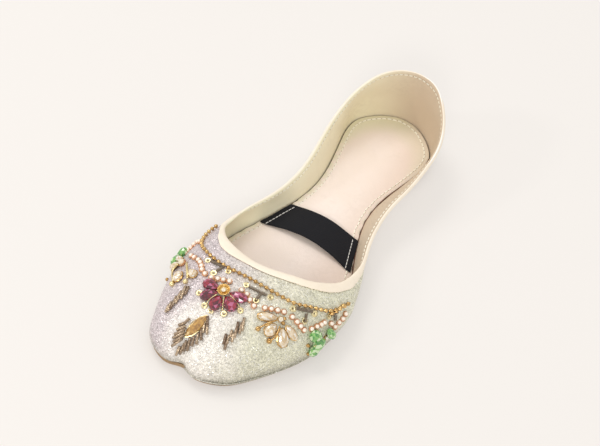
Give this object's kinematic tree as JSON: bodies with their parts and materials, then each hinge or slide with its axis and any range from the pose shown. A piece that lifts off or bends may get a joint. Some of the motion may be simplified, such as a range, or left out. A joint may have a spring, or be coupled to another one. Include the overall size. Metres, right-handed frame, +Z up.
{
  "type": "mojari shoe",
  "caption": "Flat slip-on mojari shoe for the left foot, with a hollow leather upper, a notched toe and bead flowers across its vamp.",
  "frame": {"origin": "middle of the bounding box in plan, on the floor under the sole", "axes": "+Z up, +Y from the toe towards the heel, +X towards the outer side of a left foot"},
  "size_m": [0.1058, 0.2508, 0.0499],
  "materials": {
    "sole_leather": "satin",
    "cream_leather": "smooth",
    "cream_binding": "smooth",
    "peach_leather": "smooth",
    "black_ribbon": "woven",
    "gold_metal": "polished",
    "peach_pearl": "pearly",
    "red_crystal": "faceted",
    "champagne_crystal": "faceted",
    "green_crystal": "faceted",
    "amber_stone": "faceted",
    "brown_bugle_bead": "glossy"
  },
  "bodies": {
    "root": {"outsole": "sole_leather", "insole": "peach_leather", "upper": "cream_leather", "topline_binding": "cream_binding", "label_band": "black_ribbon", "ball_chain": "gold_metal", "pearl_garland": "peach_pearl", "centre_red": "gold_metal", "petal_red_1": "red_crystal", "petal_red_2": "red_crystal", "petal_red_3": "red_crystal", "petal_red_4": "red_crystal", "petal_red_5": "red_crystal", "centre_champagne_outer": "gold_metal", "petal_champagne_outer_1": "champagne_crystal", "petal_champagne_outer_2": "champagne_crystal", "petal_champagne_outer_3": "champagne_crystal", "petal_champagne_outer_4": "champagne_crystal", "centre_champagne_inner": "gold_metal", "petal_champagne_inner_1": "champagne_crystal", "petal_champagne_inner_2": "champagne_crystal", "petal_champagne_inner_3": "champagne_crystal", "petal_champagne_inner_4": "champagne_crystal", "centre_green_outer": "gold_metal", "petal_green_outer_1": "green_crystal", "petal_green_outer_2": "green_crystal", "petal_green_outer_3": "green_crystal", "petal_green_outer_4": "green_crystal", "centre_green_inner": "gold_metal", "petal_green_inner_1": "green_crystal", "petal_green_inner_2": "green_crystal", "petal_green_inner_3": "green_crystal", "petal_green_inner_4": "green_crystal", "leaf_stone": "amber_stone", "leaf_beads_outer": "brown_bugle_bead", "leaf_beads_inner": "brown_bugle_bead", "sprig_outer": "brown_bugle_bead", "sprig_inner": "brown_bugle_bead", "branch_1": "brown_bugle_bead", "branch_2": "brown_bugle_bead", "branch_3": "brown_bugle_bead", "branch_4": "brown_bugle_bead"}
  },
  "joints": []
}
